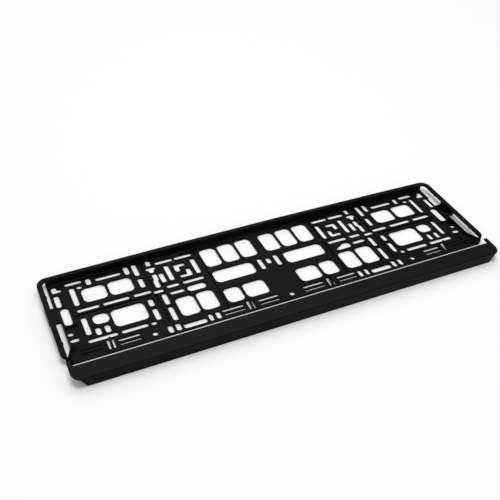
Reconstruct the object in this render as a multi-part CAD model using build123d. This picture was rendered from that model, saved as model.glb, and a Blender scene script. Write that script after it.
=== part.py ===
from build123d import *
import os

# Number plate holder: a perforated tray that is screwed to the car, and a strip that clips over the
# tray's lower edge. X runs along the plate, Y points to the plate's top and Z points away from the car.
# The origin is the middle of the tray's back face. The strip lies loose in front of the tray.

# The plate that the tray takes
plate_length = 520.0
plate_height = 114.0
plate_thickness = 1.0
plate_gap = 0.5  # beside the plate and above it
plate_play = 0.3  # between the plate and the bars over it

# Panel and rim of the tray
panel_thickness = 2.5
rest_height = 4.5  # ribs that the plate lies on, above the panel
bar_thickness = 2.7  # bars over the side notches
side_wall = 4.5
lip_reach = 1.5  # how far the bars reach in past the side wall
top_rim = 6.0
top_arch = 2.8  # the top edge is this much higher in the middle
rim_skin = 1.8  # wall of the top rim around its hollow back
strip_zone = 10.2  # panel below the plate, covered by the strip
upper_corner = 12.0
lower_corner = 10.0
rim_end = 11.5  # from the tray's end to the foot of the rim's sloping end
rim_slope = 9.0

# Side notches under the bars
notch_depth = 12.5
upper_notch_step = 2.0  # the upper notch on the right is deeper by this much below its step
notch_foot = 5.0  # from the lower notch to the lower edge
notch_taper = 14.0  # height of the sloping end of the lower notch
notch_slope = 6.5  # and how far it leans out
rest_rib = 1.5
tooth_length = 2.6
tooth_reach = 0.7

# Openings of the panel
window_corner = 6.2
slot_width = 6.0
slot_cut = 1.4  # cut corners of a slot
screw_hole = 6.5
screw_rise = 8.0  # screw holes above the lower edge
slit_width = 3.0
wide_slit = 3.9  # the upper slit of each pair
slit_pitch = 5.7
groove_width = 2.4
wide_groove = 4.8
groove_depth = 1.4
web_length = 14.0  # web across one corner of the ramp window
web_rise = 8.0

# Receivers for the clips of the strip
receiver_width = 7.6
tongue_width = 2.6
tongue_root = 1.0  # how far the tongue runs into the panel
tongue_gap = 0.8  # before its free end
tongue_rise = 4.0  # its free end above its root
edge_margin = 2.4  # panel left along the lower edge

# The strip
strip_gap = 0.3  # between the strip's wall and the tray's lower edge
strip_lift = 0.3  # between the rim and the strip's face
strip_face = 1.8
strip_wall = 2.0
strip_overlap = 7.2  # how far the strip's face covers the plate
strip_inset = 2.5  # the strip is shorter than the tray at each end
strip_crease = 1.2
ear_width = 4.5
ear_length = 8.0
ear_root = 3.0
end_cut = 6.0  # rounded end of the face, along X
end_rise = 11.4  # and along Y
wall_slope = 8.0  # sloping end of the wall
clip_clearance = 0.3  # around each prong of a clip, and to the plate's lower edge
strip_apart = 13.0  # from the tray's lower edge to the loose strip's face

first_row = 12.5  # where the opening pattern starts, above the lower edge
overrun = 1.0  # cutters pass the faces by this much

half_length = plate_length / 2 + plate_gap + side_wall
tray_height = top_arch + top_rim + plate_gap + plate_height + strip_zone
top_edge = tray_height / 2
shoulder = top_edge - top_arch
lower_edge = -tray_height / 2
plate_edge = lower_edge + strip_zone
rest_level = panel_thickness + rest_height
bar_level = rest_level + plate_thickness + plate_play
rim_height = bar_level + bar_thickness

# Steps of the opening pattern, counted from the middle and from its first row. On a plate of the common
# size one step is a millimetre.
column = plate_length / 520
row = plate_height / 114
notch = (half_length - notch_depth) / column  # in columns


def across(step):
    """X of a pattern column."""
    return step * column


def up(step):
    """Y of a pattern row."""
    return lower_edge + first_row + step * row


def plate_of(*corners):
    """Flat face with straight sides."""
    return make_face(Polyline(*corners, close=True))


def cut_patch(x0, x1, y0, y1, cut):
    """Rectangle between two corners, with cut corners."""
    c = min(cut, 0.45 * min(x1 - x0, y1 - y0))
    return plate_of((x0 + c, y0), (x1 - c, y0), (x1, y0 + c), (x1, y1 - c),
                    (x1 - c, y1), (x0 + c, y1), (x0, y1 - c), (x0, y0 + c))


def window(x0, x1, y0, y1):
    """Window with rounded corners between pattern columns and rows."""
    width = across(x1) - across(x0)
    height = up(y1) - up(y0)
    corner = min(window_corner, 0.45 * min(width, height))
    return Pos(across(x0) + width / 2, up(y0) + height / 2) * RectangleRounded(width, height, corner)


def upright_slot(x, y0, y1):
    """Slot of the common width, standing on a pattern column."""
    return cut_patch(across(x) - slot_width / 2, across(x) + slot_width / 2, up(y0), up(y1), slot_cut)


def level_slot(y, x0, x1):
    """Slot of the common width, lying on a pattern row."""
    return cut_patch(across(x0), across(x1), up(y) - slot_width / 2, up(y) + slot_width / 2, slot_cut)


def prism(face, bottom, top):
    """Solid of one face between two heights."""
    return Pos(0, 0, bottom) * extrude(face, top - bottom)


def block(x0, x1, y0, y1, z0, z1):
    """Plain block between two corners."""
    return Pos((x0 + x1) / 2, (y0 + y1) / 2, (z0 + z1) / 2) * Box(x1 - x0, y1 - y0, z1 - z0)


def both_sides(shapes):
    """The shapes and their mirror images about the middle."""
    return shapes + [mirror(shape, about=Plane.YZ) for shape in shapes]


def tray_shape(side, top, bottom):
    """Outline of the tray with its arched top, drawn in from its sides, top and lower edge."""
    right = half_length - side
    low = lower_edge + bottom
    face = make_face([Line((-right, low), (right, low)),
                      Line((right, low), (right, shoulder - top)),
                      ThreePointArc((right, shoulder - top), (0, top_edge - top), (-right, shoulder - top)),
                      Line((-right, shoulder - top), (-right, low))])
    face = fillet(face.vertices().group_by(Axis.Y)[-1], upper_corner - side)
    return fillet(face.vertices().group_by(Axis.Y)[0], lower_corner - side)


def middle_field():
    """Openings between the middle and the first groove, on the right."""
    holes = [window(start, start + 20.5, 73.2, 107.3) for start in (5.6, 28.8, 52.0)]
    holes += [window(20.5, 72.0, 43.6, 65.7), window(20.5, 48.5, 7.5, 32.5), window(51.5, 72.0, 7.5, 32.5)]
    holes += [upright_slot(10.5, 45.7, 66.0)]
    return holes


def ramp_ends():
    """Columns and rows of the low wide window that has a web across one corner on the right side."""
    return 85.0, 107.5, 42.7, 53.4


def ornate_field():
    """Openings between the two upright grooves, on the right."""
    holes = [window(82.0, 103.0, 7.4, 39.0), window(105.5, 127.5, 7.4, 39.0), window(*ramp_ends())]
    holes += [upright_slot(84.6, 68.7, 97.0), upright_slot(117.5, 68.7, 97.0)]
    holes += [upright_slot(127.2, 68.7, 86.3), upright_slot(135.4, 102.0, 112.5)]
    holes += [upright_slot(135.6, 32.6, 51.6), upright_slot(135.9, 5.7, 29.1)]
    holes += [level_slot(104.1, 82.0, 104.0), level_slot(104.1, 106.0, 128.0)]
    holes += [level_slot(60.5, 82.4, 108.4), level_slot(60.5, 113.0, 128.2)]
    holes += [level_slot(57.2, 132.8, 144.9), level_slot(48.7, 111.0, 128.2)]
    # Two hooked openings that turn about each other
    holes += [upright_slot(106.4, 80.3, 93.8) + level_slot(90.8, 95.4, 109.4)]
    holes += [upright_slot(95.0, 68.6, 82.5) + level_slot(71.6, 92.0, 107.5)]
    # A short bar with a lobe under it, and a slot with a jog
    holes += [level_slot(97.2, 129.6, 141.3) + upright_slot(135.6, 89.5, 98.5)]
    holes += [upright_slot(134.8, 75.0, 88.0) + upright_slot(136.5, 62.5, 77.5)]
    return holes


def outer_field():
    """Openings between the second groove and the side notches, on the right."""
    holes = [window(162.0, 190.0, 69.6, 94.3), window(193.0, 220.5, 69.6, 94.3)]
    holes += [window(161.0, 199.5, 20.0, 48.5), window(202.0, 220.0, 32.0, 48.5)]
    holes += [window(notch - 12.2, notch - 3.0, 42.4, 71.0), upright_slot(notch - 4.4, 73.2, 93.9)]
    holes += [upright_slot(229.2, 68.7, 100.2), upright_slot(228.8, 20.5, 48.9)]
    holes += [upright_slot(152.5, 91.1, 112.5), upright_slot(152.5, 69.5, 86.7)]
    holes += [upright_slot(152.8, 36.3, 49.3), upright_slot(152.8, 13.7, 33.1)]
    holes += [upright_slot(162.5, 97.4, 112.5), upright_slot(208.2, 97.4, 109.3)]
    holes += [upright_slot(x, 16.4, 28.8) for x in (208.3, 218.5)]
    holes += [level_slot(103.1, 170.0, 200.0), level_slot(106.9, 215.4, 235.0)]
    holes += [level_slot(97.7, 217.2, 223.4), level_slot(11.0, 157.0, 163.2)]
    holes += [level_slot(60.5, x0, x1) for x0, x1 in ((146.7, 167.4), (172.4, 202.8), (207.0, 232.2))]
    holes += [level_slot(11.5, x0, x1) for x0, x1 in ((166.5, 196.2), (200.3, 232.7))]
    holes += [level_slot(19.0, notch - 12.2, notch - 2.5), level_slot(28.8, notch - 8.3, notch - 2.3)]
    holes += [upright_slot(notch - 4.8, 97.2, 108.5) + level_slot(100.4, notch - 12.2, notch - 1.6)]
    return holes


def lower_row():
    """Openings of the panel along its lower edge, on the right."""
    foot = lower_edge + edge_margin
    holes = [cut_patch(across(x0), across(x1), foot, up(1.5), slot_cut)
             for x0, x1 in ((88.0, 93.6), (97.0, 102.2), (134.5, 140.5), (143.5, 149.3))]
    holes += [cut_patch(across(105.0), across(132.0), foot, up(-2.6), slot_cut)]
    holes += [Pos(across(164.0), lower_edge + screw_rise) * Circle(screw_hole / 2)]
    return holes


def slit_pairs():
    """Pairs of slits beside the receivers. They aren't mirror images."""
    holes = []
    for x0, x1, rise in ((-203.0, -179.0, 3.7), (-85.1, -58.8, 2.0), (-41.0, -15.8, 2.0),
                         (15.8, 42.6, 2.0), (60.3, 85.1, 2.0), (183.3, 206.3, 3.7)):
        low = lower_edge + edge_margin + rise * row
        for y0, width in ((low, slit_width), (low + slit_pitch, wide_slit)):
            holes += [cut_patch(across(x0), across(x1), y0, y0 + width, slit_width / 4)]
    return holes


def receivers():
    """Middle, lower end and upper end of each opening that takes a clip."""
    foot = lower_edge + edge_margin
    inner = [(across(x), foot, up(4.5)) for x in (-51.1, 51.1)]
    outer = [(across(x), foot + 2.2 * row, up(6.5)) for x in (-211.3, 214.8)]
    return inner + outer


def receiver_holes():
    """Openings that take the clips."""
    half = receiver_width / 2
    return [cut_patch(x - half, x + half, y0, y1, clip_clearance) for x, y0, y1 in receivers()]


def receiver_tongues():
    """Tongues in these openings that the clips straddle. They rise towards the plate."""
    tongues = []
    for x, y0, y1 in receivers():
        root = y0 - tongue_root
        end = y1 - tongue_gap
        side = plate_of((root, 0), (end, tongue_rise), (end, tongue_rise + panel_thickness),
                        (root, panel_thickness))
        tongues += [Pos(x - tongue_width / 2, 0, 0) * extrude(Plane.YZ * side, tongue_width)]
    return tongues


def panel_grooves():
    """Grooves in the panel's face, on the right."""
    floor = panel_thickness - groove_depth
    top = panel_thickness + overrun
    thin = groove_width / 2
    wide = wide_groove / 2
    grooves = [block(across(77.0) - wide, across(77.0) + wide, up(4.0), up(112.0), floor, top)]
    grooves += [block(across(144.2) - thin, across(144.2) + thin, y0, y1, floor, top)
                for y0, y1 in ((up(6.0), up(52.0)), (up(66.0), up(112.0)))]
    grooves += [block(across(149.0), across(234.0), up(53.3) - wide / 2, up(53.3) + wide / 2, floor, top)]
    grooves += [block(across(notch - 15.5), across(notch - 2.0), up(32.5), up(40.5), floor, top)]
    for y in (up(1.5), up(1.5) - slit_pitch):
        grooves += [block(across(220.5), across(244.0), y - thin / 2, y + thin / 2, floor, top)]
    return grooves


def notch_shapes():
    """Plan of the two side notches on the right, open to the outside."""
    out = half_length + overrun
    deep = half_length - notch_depth
    foot = lower_edge + notch_foot
    upper = plate_of((deep + upper_notch_step, up(74.5)), (out, up(74.5)), (out, top_edge),
                     (deep + upper_notch_step, top_edge))
    lower = plate_of((deep, foot + notch_taper), (deep + notch_slope, foot), (out, lower_edge - overrun),
                     (out, up(50.5)), (deep, up(50.5)))
    return [upper, lower]


def notch_step():
    """Plan of the step in the upper notch, which only the right side has."""
    deep = half_length - notch_depth
    shallow = deep + upper_notch_step
    return plate_of((deep, up(74.5)), (half_length, up(74.5)), (half_length, up(91.0)),
                    (shallow, up(91.0)), (deep, up(90.0)))


def rest_shape():
    """Plan of the rib that the plate lies on, along the lower notch on the right."""
    edge = half_length - notch_depth
    foot = lower_edge + notch_foot
    return plate_of((edge, up(50.5)), (edge - rest_rib, up(50.5)), (edge - rest_rib, foot + notch_taper),
                    (edge + notch_slope - rest_rib, foot), (edge + notch_slope, foot),
                    (edge, foot + notch_taper))


def side_bars():
    """Bar over the notches on the right, with two teeth that grip the plate."""
    reach = side_wall + lip_reach
    inner = half_length - reach
    ring = prism(tray_shape(0, 0, 0) - tray_shape(reach, top_rim, 0), bar_level, rim_height)
    low = lower_edge + notch_foot - overrun
    bars = [ring & block(half_length - notch_depth, half_length, low, shoulder, bar_level, rim_height)]
    for tooth in (up(10.2), up(84.7)):
        bars += [block(inner - tooth_reach, half_length - side_wall, tooth, tooth + tooth_length,
                       bar_level, rim_height)]
    return bars


def rim_walls():
    """Rim on the top and the sides. It runs round the lower corners and slopes down there."""
    ring = tray_shape(0, 0, 0) - tray_shape(side_wall, top_rim, side_wall)
    end = half_length - rim_end
    rim = prism(ring, 0, rim_height)
    rim -= block(-end, end, lower_edge - overrun, lower_edge + lower_corner, -overrun, rim_height + overrun)
    slope = plate_of((end, panel_thickness), (end + rim_slope, rim_height),
                     (end + rim_slope, rim_height + overrun), (end, rim_height + overrun))
    cutter = Pos(0, lower_edge + lower_corner, 0) * extrude(Plane.XZ * slope, lower_corner + overrun)
    return rim - both_sides([cutter])


def rim_hollow():
    """Channel in the back of the top rim, which leaves an even skin."""
    band = tray_shape(side_wall, rim_skin, 0) - tray_shape(side_wall, top_rim - rim_skin, 0)
    reach = half_length - 2 * upper_corner
    field = block(-reach, reach, 0, top_edge, -overrun, rim_height)
    return prism(band, -overrun, rim_height - rim_skin) & field


def make_tray():
    """The whole tray."""
    holes = both_sides(middle_field() + ornate_field() + outer_field() + lower_row())
    holes += slit_pairs() + receiver_holes()
    holes += [cut_patch(-slot_width / 2, slot_width / 2, up(52.5), up(63.5), slot_cut)]
    holes += [Pos(0, lower_edge + screw_rise) * Circle(screw_hole / 2)]
    tray = prism(tray_shape(0, 0, 0), 0, panel_thickness)
    tray -= [prism(hole, -overrun, panel_thickness + overrun) for hole in holes]
    tray -= both_sides(panel_grooves())
    left, _, _, top = ramp_ends()
    x = across(left)
    y = up(top)
    web = plate_of((x, y), (x, y - web_rise), (x + web_length, y))
    tray += [prism(web, 0, panel_thickness), rim_walls()] + both_sides(side_bars())
    tray -= both_sides([prism(shape, -overrun, bar_level) for shape in notch_shapes()])
    tray -= [prism(notch_step(), -overrun, bar_level), rim_hollow()]
    return tray + both_sides([prism(rest_shape(), 0, rest_level)]) + receiver_tongues()


def make_strip():
    """The strip where it clips on: its wall in front of the tray's lower edge, its face over the rim."""
    top = rim_height + strip_lift + strip_face
    under = top - strip_face
    front = lower_edge - strip_gap - strip_wall
    edge = plate_edge + strip_overlap
    half = half_length - strip_inset
    ear_in = half - ear_width
    end = half - end_cut
    tip = edge + ear_length
    root = ear_in - ear_root
    face_half = make_face([Line((0, front), (end, front)),
                           TangentArc((half, front + end_rise), (end, front), tangent=(0, -1)),
                           Line((half, front + end_rise), (half, tip)),
                           Line((half, tip), (ear_in, tip)),
                           Line((ear_in, tip), (ear_in, edge + ear_root)),
                           TangentArc((ear_in, edge + ear_root), (root, edge), tangent=(0, -1)),
                           Line((root, edge), (0, edge)),
                           Line((0, edge), (0, front))])
    wall_half = plate_of((0, 0), (end - wall_slope, 0), (end, top), (0, top))
    halves = [prism(face_half, under, top)]
    halves += [Pos(0, front + strip_wall, 0) * extrude(Plane.XZ * wall_half, strip_wall)]
    slot = (receiver_width - tongue_width) / 2
    prong = slot - 2 * clip_clearance
    far = plate_edge - clip_clearance
    prongs = []
    for x, foot, _ in receivers():
        near = foot + clip_clearance
        for side in (-1, 1):
            middle = x + side * (tongue_width + slot) / 2
            prongs += [block(middle - prong / 2, middle + prong / 2, near, far, 0, under)]
    strip = Part() + both_sides(halves) + prongs
    crease = strip.edges().filter_by(Axis.X).sort_by(lambda line: line.center().Z - line.center().Y)[-1]
    return fillet(crease, strip_crease)


def lay_down(strip):
    """The strip lying loose in front of the tray."""
    shift = lower_edge - strip_apart - (plate_edge + strip_overlap)
    return Pos(0, shift, 0) * strip


os.makedirs("parts", exist_ok=True)
export_step(make_tray(), "parts/holder_tray.step")
export_step(lay_down(make_strip()), "parts/clip_strip.step")
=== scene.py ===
# %% [markdown]
# # A number plate holder
# This lesson dresses a number plate holder: a black moulded tray full of slots and windows, and the
# strip that clips over its lower edge once the plate is in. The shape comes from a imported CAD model.
# Blender's work is what a mould and a polisher add: rounded slot ends, softened edges and a grain.

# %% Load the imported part
import math

import bmesh
import bpy
from mathutils import Matrix, Vector


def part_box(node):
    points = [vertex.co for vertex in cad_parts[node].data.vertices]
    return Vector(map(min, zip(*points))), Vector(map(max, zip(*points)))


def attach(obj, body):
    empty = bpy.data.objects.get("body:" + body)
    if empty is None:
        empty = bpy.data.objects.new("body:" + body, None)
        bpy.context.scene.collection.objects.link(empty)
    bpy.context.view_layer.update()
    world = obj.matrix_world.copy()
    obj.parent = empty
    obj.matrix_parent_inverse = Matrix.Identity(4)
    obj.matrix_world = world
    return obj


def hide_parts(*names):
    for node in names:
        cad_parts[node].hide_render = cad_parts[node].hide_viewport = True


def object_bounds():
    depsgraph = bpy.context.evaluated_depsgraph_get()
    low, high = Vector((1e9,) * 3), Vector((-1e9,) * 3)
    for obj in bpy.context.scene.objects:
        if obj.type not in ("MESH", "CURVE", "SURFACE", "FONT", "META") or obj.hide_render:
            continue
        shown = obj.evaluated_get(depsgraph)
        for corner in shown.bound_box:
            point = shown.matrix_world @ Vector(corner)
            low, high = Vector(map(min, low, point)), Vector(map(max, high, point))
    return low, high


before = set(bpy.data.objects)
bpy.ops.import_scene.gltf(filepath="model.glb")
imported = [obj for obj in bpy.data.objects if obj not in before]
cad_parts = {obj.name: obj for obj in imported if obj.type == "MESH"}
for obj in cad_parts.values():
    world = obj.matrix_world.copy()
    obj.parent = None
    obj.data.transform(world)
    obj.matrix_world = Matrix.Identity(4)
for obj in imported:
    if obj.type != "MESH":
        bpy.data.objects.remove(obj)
cad_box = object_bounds()
millimetre = 0.001
print("nodes:", sorted(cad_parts))
print("CAD box in mm:", [[round(c / millimetre, 1) for c in corner] for corner in cad_box])

# %% [markdown]
# ## Welding a copy of the CAD mesh
# A CAD model arrives as loose triangles, and a bevel needs faces that know their neighbours. We could
# set a Bevel modifier on the node itself, but it would see every triangle as an island. So we copy the
# mesh and weld its corners. The copy then stands for the node.

# %% Weld
weld_distance = 0.002 * millimetre
flat_angle = math.radians(0.4)


def welded_copy(node):
    """The CAD node's mesh with its corners welded."""
    shape = bmesh.new()
    shape.from_mesh(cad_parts[node].data)
    bmesh.ops.remove_doubles(shape, verts=shape.verts[:], dist=weld_distance)
    print(node, "welded:", len(shape.faces), "triangles,", open_edges(shape), "open edges")
    return shape


def open_edges(shape):
    """How many edges don't lie between exactly two faces."""
    return sum(len(edge.link_faces) != 2 for edge in shape.edges)


def join_flat(shape):
    """Joins the triangles that lie in one plane."""
    bmesh.ops.dissolve_limit(shape, angle_limit=flat_angle, use_dissolve_boundaries=False,
                             verts=shape.verts[:], edges=shape.edges[:])


tray_mesh = welded_copy("holder_tray")
strip_mesh = welded_copy("clip_strip")

# %% [markdown]
# ## Taking off the lids
# The tray is a stack of flat levels joined by upright walls, like a set of biscuit cutters with lids on.
# The panel's lid alone goes round more than a hundred openings, and no bevel keeps such a face tidy. So we
# note the height of every level, take the lids off, work on the bare walls and put new lids on at the end.

# %% Take off the level faces
level_slack = 0.001


def take_lids(shape):
    """Removes the level faces and gives their heights, with whether they face up."""
    lids = [face for face in shape.faces if abs(face.normal.z) > 1 - level_slack]
    heights = sorted({(round(face.verts[0].co.z, 6), face.normal.z > 0) for face in lids})
    bmesh.ops.delete(shape, geom=lids, context="FACES")
    join_flat(shape)
    return heights


tray_levels = take_lids(tray_mesh)
for height, up in tray_levels:
    print("level at", round(height / millimetre, 2), "mm faces", "up" if up else "down")

# %% [markdown]
# ## Rounded slot ends
# In the real tray every slot ends in round corners, because a mould is milled with a round cutter. The
# CAD solid cuts those corners straight to stay light. A straight cut has two upright edges of 45 degrees,
# so we look for those, measure how wide the cut is, and bevel each pair until the arcs meet in its middle.

# %% Find the cut corners
cut_angle = math.radians(45)
angle_slack = math.radians(2)
lean_slack = 0.03
width_step = 0.05 * millimetre
widest_cut = 2.1 * millimetre


def is_wall(face):
    """Whether a face stands upright."""
    return abs(face.normal.z) < lean_slack


def upright(edge):
    """Whether an edge stands between two walls."""
    foot, head = edge.verts
    return (len(edge.link_faces) == 2 and all(is_wall(face) for face in edge.link_faces)
            and (foot.co.xy - head.co.xy).length < weld_distance)


def narrower_side(edge):
    """How far the narrower of the two walls reaches from an upright edge."""
    foot = edge.verts[0].co.xy
    return min(max((vert.co.xy - foot).length for vert in face.verts) for face in edge.link_faces)


def corner_cuts(shape):
    """The upright edges of cut corners, in groups of one width."""
    groups = {}
    for edge in shape.edges:
        if upright(edge) and abs(edge.calc_face_angle() - cut_angle) < angle_slack:
            width = narrower_side(edge)
            if width < widest_cut:
                groups.setdefault(round(width / width_step), []).append(edge)
    return groups


cut_counts = {step: len(edges) for step, edges in sorted(corner_cuts(tray_mesh).items())}
for step, count in cut_counts.items():
    print(count, "edges of cuts that are", round(step * width_step / millimetre, 2), "mm wide")

# %% Round them
share_of_cut = 0.47


def soften(shape, edges, width, segments):
    """Bevels some edges to a round."""
    bmesh.ops.bevel(shape, geom=edges, offset=width, offset_type="OFFSET", affect="EDGES",
                    segments=segments, profile=0.5, material=-1, clamp_overlap=False)


for step in cut_counts:
    soften(tray_mesh, corner_cuts(tray_mesh)[step], share_of_cut * step * width_step, 3)
print("walls after rounding:", len(tray_mesh.faces))

# %% [markdown]
# ## Softened corners
# No moulded corner is sharp either where a wall turns outward: at the ends of the bars, the ribs and the
# webs. Those upright edges get a small bevel, but only where both walls are wide enough to carry it.

# %% Round the outward corners
sharp_angle = math.radians(38)
corner_round = 0.4 * millimetre
narrowest_wall = 2.5 * corner_round


def outward(edge):
    """Whether an edge is a sharp one that stands out of the material."""
    return edge.is_convex and len(edge.link_faces) == 2 and edge.calc_face_angle() > sharp_angle


corners = [edge for edge in tray_mesh.edges
           if upright(edge) and outward(edge) and narrower_side(edge) > narrowest_wall]
soften(tray_mesh, corners, corner_round, 2)
print("corners rounded:", len(corners))

# %% [markdown]
# ## Rolling the rims over
# Now each level's open rim is rolled over: the top of the wall drops a little, and the rim is extruded a
# few times, each time farther round a quarter circle, until it lies on the level. A bevel could do that
# only on edges that still have their lids. Where a wall rises from a level instead of dropping, the corner
# is an inner one and stays as it is. First we work out which way each corner of a rim rolls and how far.

# %% Which way the rims roll
least_left = 0.1
sharpest_turn = 0.3


def rim_of(shape, height):
    """The open edges at one height."""
    return [edge for edge in shape.edges
            if edge.is_boundary and all(abs(vert.co.z - height) < weld_distance for vert in edge.verts)]


def corners_of(rim):
    """The corners along some edges, each once and in a fixed order."""
    return list(dict.fromkeys(vert for edge in rim for vert in edge.verts))


def roll_directions(rim, height, up, inside, outside):
    """The way outward and the width for each corner that can roll. The way keeps the roll's width even."""
    walls = {}
    for edge in rim:
        face = edge.link_faces[0]
        if is_wall(face) and (face.calc_center_median().z < height) == up:
            walls[edge] = Vector((face.normal.x, face.normal.y, 0)).normalized()
    rolls = {}
    for vert in corners_of(rim):
        sides = [walls[edge] for edge in vert.link_edges if edge in walls]
        if len(sides) == 2:
            out = (sides[0] + sides[1]) / max(1 + sides[0].dot(sides[1]), sharpest_turn)
            rolls[vert] = (out, outside if out.dot(vert.co) > 0 else inside)
    for edge in rim:
        start, end = edge.verts
        if start in rolls and end in rolls:
            along = end.co - start.co
            left = along - rolls[end][1] * rolls[end][0] + rolls[start][1] * rolls[start][0]
            if left.dot(along) < least_left * along.length_squared:
                del rolls[start], rolls[end]
    return rolls


tray_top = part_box("holder_tray")[1].z
print("open edges around the highest level:", len(rim_of(tray_mesh, tray_top)))

# %% [markdown]
# The outside of the raised rim is the roundest edge of the tray, so it rolls wider than the rest. An
# extrusion copies every corner of a rim. The copies of corners that don't roll are welded back, and then
# each level gets its new lid. The undersides of the bars and of the hollow rim are hidden and only get lids.

# %% Roll the rims and put the lids on
plain_roll = 0.2 * millimetre
rim_roll = 0.35 * millimetre
outer_roll = 1.2 * millimetre


def roll_over(shape, height, up, inside, outside, turns):
    """Rolls one level's rim over and gives the number of corners that rolled."""
    rise = Vector((0, 0, 1 if up else -1))
    rim = rim_of(shape, height)
    rolls = roll_directions(rim, height, up, inside, outside)
    tops = {vert: vert.co.copy() for vert in rolls}
    for vert, (_, width) in rolls.items():
        vert.co -= width * rise
    origins = {vert: vert for vert in corners_of(rim)}
    welds = {}
    for turn in range(1, turns + 1):
        angle = math.pi / 2 * turn / turns
        made = bmesh.ops.extrude_edge_only(shape, edges=rim)["geom"]
        fresh = {item for item in made if isinstance(item, bmesh.types.BMVert)}
        ring = {}
        for vert, origin in origins.items():
            neighbours = (edge.other_vert(vert) for edge in vert.link_edges)
            copy = next(other for other in neighbours if other in fresh)
            ring[copy] = origin
            if origin in rolls:
                out, width = rolls[origin]
                copy.co = tops[origin] - width * ((1 - math.cos(angle)) * out + (1 - math.sin(angle)) * rise)
            else:
                welds[copy] = origin
        origins = ring
        rim = [item for item in made
               if isinstance(item, bmesh.types.BMEdge) and all(vert in fresh for vert in item.verts)]
    bmesh.ops.weld_verts(shape, targetmap=welds)
    return len(rolls)


def put_lid(shape, height, up):
    """Fills a level inside its open rim."""
    bmesh.ops.triangle_fill(shape, use_beauty=True, use_dissolve=False, edges=rim_of(shape, height),
                            normal=Vector((0, 0, 1 if up else -1)))


for height, up in tray_levels:
    count = 0
    if height > tray_top - millimetre:
        count = roll_over(tray_mesh, height, up, rim_roll, outer_roll, 4)
    elif up or height < millimetre:
        count = roll_over(tray_mesh, height, up, plain_roll, plain_roll, 2)
    put_lid(tray_mesh, height, up)
    print("level", round(height / millimetre, 2), "mm:", count, "corners rolled over")
bmesh.ops.recalc_face_normals(tray_mesh, faces=tray_mesh.faces[:])
print("open edges now:", open_edges(tray_mesh))

# %% [markdown]
# ## The strip's edges
# The strip is a plain folded shape with few faces, so an ordinary bevel is enough. Its triangles are joined
# first, or the bevel would also follow the lines between them.

# %% Round the strip's edges
strip_round = 0.35 * millimetre

join_flat(strip_mesh)
strip_edges = [edge for edge in strip_mesh.edges if outward(edge)]
soften(strip_mesh, strip_edges, strip_round, 3)
print("strip edges rounded:", len(strip_edges))

# %% [markdown]
# ## Making the pieces
# Each mesh becomes an object at the origin that rides on the part's only body and stands for its CAD node.
# Smooth shading alone would bend the light over the large flat faces. So edges above 32 degrees stay sharp,
# and a Weighted Normal modifier lets the big faces keep their own direction.

# %% Make the pieces
smooth_angle = math.radians(32)


def finish_piece(shape, name, node):
    """Turns a mesh into a piece that stands for a CAD node."""
    bmesh.ops.dissolve_degenerate(shape, dist=weld_distance, edges=shape.edges[:])
    bmesh.ops.triangulate(shape, faces=[face for face in shape.faces if len(face.verts) > 4])
    mesh = bpy.data.meshes.new(name)
    shape.to_mesh(mesh)
    shape.free()
    mesh.shade_smooth()
    mesh.set_sharp_from_angle(angle=smooth_angle)
    piece = bpy.data.objects.new(name, mesh)
    bpy.context.scene.collection.objects.link(piece)
    even = piece.modifiers.new("even_light", "WEIGHTED_NORMAL")
    even.keep_sharp = True
    even.weight = 100
    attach(piece, "root")
    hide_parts(node)
    print(name, "has", len(mesh.polygons), "faces")
    return piece


tray = finish_piece(tray_mesh, "plate_tray", "holder_tray")
strip = finish_piece(strip_mesh, "closing_strip", "clip_strip")

# %% [markdown]
# ## Sums with sockets
# A material is a small calculation. Adding nodes by hand takes many lines, so one class wraps a socket:
# sums and products of wrapped sockets add their Math nodes, and one method adds any other node.

# %% A socket that can be calculated with
class Signal:
    """One output of a node, ready for sums and products."""

    def __init__(self, tree, socket):
        self.tree = tree
        self.socket = socket

    @staticmethod
    def node(tree, kind, settings, values, output):
        """Adds a node: its settings first, then what feeds its sockets. Gives one of its outputs."""
        made = tree.nodes.new(kind)
        for key, value in settings.items():
            setattr(made, key, value)
        for key, value in values.items():
            if isinstance(value, Signal):
                tree.links.new(value.socket, made.inputs[key])
            else:
                made.inputs[key].default_value = value
        return Signal(tree, made.outputs[output])

    def maths(self, operation, first, second):
        """A Math node on two values."""
        return Signal.node(self.tree, "ShaderNodeMath", {"operation": operation}, {0: first, 1: second}, 0)

    def __add__(self, other):
        return self.maths("ADD", self, other)

    def __radd__(self, other):
        return self.maths("ADD", other, self)

    def __mul__(self, other):
        return self.maths("MULTIPLY", self, other)

    def __rmul__(self, other):
        return self.maths("MULTIPLY", other, self)


print("sockets can be added and multiplied")

# %% [markdown]
# ## Black moulded plastic
# The holder is black plastic straight from the mould: nearly no colour of its own, a dull sheen, a fine
# grain that was etched into the mould, and faint clouds where the melt cooled unevenly. Everything is
# calculated from the object's own coordinates, so the pattern stays on the piece from every side.

# %% The plastic
cloud_size = 28 * millimetre
flow_size = 7 * millimetre
flow_stretch = (0.12, 1.0, 1.0)
grain_depth = 0.03 * millimetre
grain_strength = 0.35


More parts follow.
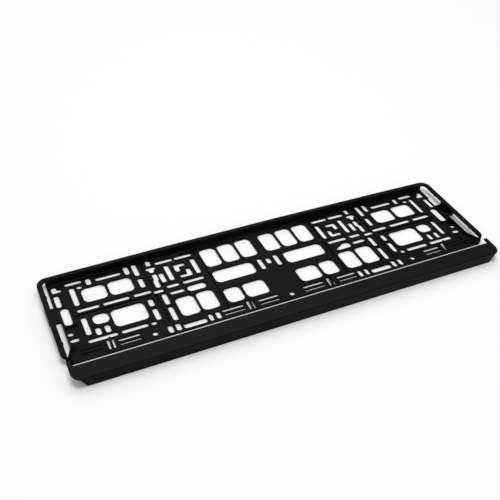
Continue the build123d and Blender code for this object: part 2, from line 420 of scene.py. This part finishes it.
def moulded_plastic(name, dark, pale, roughness, sheen, grain_size):
    """A black plastic with a mould grain, faint clouds and flow marks along its length."""
    material = bpy.data.materials.new(name)
    material.use_nodes = True
    tree = material.node_tree
    shader = tree.nodes["Principled BSDF"]
    place = Signal.node(tree, "ShaderNodeTexCoord", {}, {}, "Object")

    def noise(size, detail, where):
        return Signal.node(tree, "ShaderNodeTexNoise", {},
                           {"Vector": where, "Scale": 1 / size, "Detail": detail, "Roughness": 0.55}, "Fac")

    drawn = Signal.node(tree, "ShaderNodeMapping", {}, {"Vector": place, "Scale": flow_stretch}, "Vector")
    clouds = noise(cloud_size, 2, place)
    flow = noise(flow_size, 2, drawn)
    speckle = noise(grain_size, 3, place)
    pebbles = Signal.node(tree, "ShaderNodeTexVoronoi", {"feature": "SMOOTH_F1"},
                          {"Vector": place, "Scale": 1 / grain_size}, "Distance")
    tone = 0.5 * clouds + 0.3 * flow + 0.2 * speckle
    colour = Signal.node(tree, "ShaderNodeMix", {"data_type": "RGBA"},
                         {0: tone, 6: (*dark, 1), 7: (*pale, 1)}, 2)
    gloss = roughness - 0.06 + 0.1 * clouds + 0.05 * speckle
    relief = 0.6 * pebbles + 0.4 * speckle
    bump = Signal.node(tree, "ShaderNodeBump", {},
                       {"Strength": grain_strength, "Distance": grain_depth, "Height": relief}, "Normal")
    for key, signal in (("Base Color", colour), ("Roughness", gloss), ("Normal", bump)):
        tree.links.new(signal.socket, shader.inputs[key])
    shader.inputs["Specular IOR Level"].default_value = sheen
    print(name, "has", len(tree.nodes), "nodes")
    return material


# %% Dress the pieces
tray_dark = (0.0012, 0.0012, 0.0013)
tray_pale = (0.0032, 0.0031, 0.0033)
strip_dark = (0.0022, 0.0014, 0.002)
strip_pale = (0.0048, 0.0032, 0.0044)

tray.data.materials.append(moulded_plastic("black_tray_plastic", tray_dark, tray_pale, roughness=0.38,
                                           sheen=0.055, grain_size=0.5 * millimetre))
strip.data.materials.append(moulded_plastic("black_strip_plastic", strip_dark, strip_pale, roughness=0.36,
                                            sheen=0.07, grain_size=0.7 * millimetre))

# %% [markdown]
# ## The table
# The holder lies on a white table that fades into white. A plain large plane is enough, with a soft matt
# white.

# %% The table
floor_size = 8.0
floor_gap = 0.02 * millimetre
floor_white = 0.94

floor_shape = bmesh.new()
bmesh.ops.create_grid(floor_shape, x_segments=1, y_segments=1, size=floor_size / 2)
floor_mesh = bpy.data.meshes.new("white_table")
floor_shape.to_mesh(floor_mesh)
floor_shape.free()
floor = bpy.data.objects.new("white_table", floor_mesh)
floor.location.z = cad_box[0].z - floor_gap
bpy.context.scene.collection.objects.link(floor)
white = bpy.data.materials.new("white_table_top")
white.use_nodes = True
white_shader = white.node_tree.nodes["Principled BSDF"]
white_shader.inputs["Base Color"].default_value = (floor_white, floor_white, floor_white, 1)
white_shader.inputs["Roughness"].default_value = 0.9
white_shader.inputs["Specular IOR Level"].default_value = 0.1
floor_mesh.materials.append(white)
print("table at z =", round(floor.location.z / millimetre, 2), "mm")

# %% [markdown]
# ## Studio light
# In the picture there is hardly a shadow in front of the strip or beside the tray, and the table is dark only
# right under the bars. So one soft box hangs high over the middle and another one, farther back, keeps the
# table white up to the horizon. A white room fills the rest. Black plastic shows mostly what it mirrors: the
# faces on top mirror the room, and the rim's inner wall mirrors the black panel.

# %% The light
room_strength = 0.52

world = bpy.data.worlds.new("white_room")
bpy.context.scene.world = world
world.use_nodes = True
room = world.node_tree.nodes["Background"]
room.inputs["Color"].default_value = (1, 1, 1, 1)
room.inputs["Strength"].default_value = room_strength


def soft_box(name, place, target, size, power):
    """A square area light that faces a point."""
    lamp = bpy.data.lights.new(name, "AREA")
    lamp.shape = "SQUARE"
    lamp.size = size
    lamp.energy = power
    holder = bpy.data.objects.new(name, lamp)
    holder.location = place
    holder.rotation_euler = (Vector(target) - Vector(place)).to_track_quat("-Z", "Y").to_euler()
    bpy.context.scene.collection.objects.link(holder)
    print(name, "hangs", round(Vector(place).length, 2), "m from the holder")


soft_box("key_box", place=(0, -0.1, 2.2), target=(0, 0, 0), size=0.85, power=19)
soft_box("back_box", place=(0.5, 2.2, 2.6), target=(0.5, 1.4, 0), size=2.4, power=30)
bpy.context.scene.view_settings.view_transform = "Standard"

# %% [markdown]
# ## The camera
# The camera's place was solved from the straight lines of the tray: it stands to the left, in front and
# above, and is turned a little about its own axis. We build its three axes by hand, because an aim at a
# target would lose that last small turn.

# %% The camera
camera_place = Vector((-0.32072, -0.60356, 0.58819))
camera_heading = 0.4526
camera_dip = 0.694
camera_roll = -0.0408

ahead = Vector((math.sin(camera_heading) * math.cos(camera_dip),
                math.cos(camera_heading) * math.cos(camera_dip),
                -math.sin(camera_dip)))
level = ahead.cross(Vector((0, 0, 1))).normalized()
below = ahead.cross(level)
across = math.cos(camera_roll) * level + math.sin(camera_roll) * below
down = math.cos(camera_roll) * below - math.sin(camera_roll) * level
camera_axes = Matrix((across, -down, -ahead)).transposed().to_4x4()
lens = bpy.data.cameras.new("product_camera")
lens.sensor_width = 36
lens.lens = 54.185
camera = bpy.data.objects.new("product_camera", lens)
camera.matrix_world = Matrix.Translation(camera_place) @ camera_axes
bpy.context.scene.collection.objects.link(camera)
bpy.context.scene.camera = camera
print("camera stands", round(camera_place.length, 3), "m from the holder")
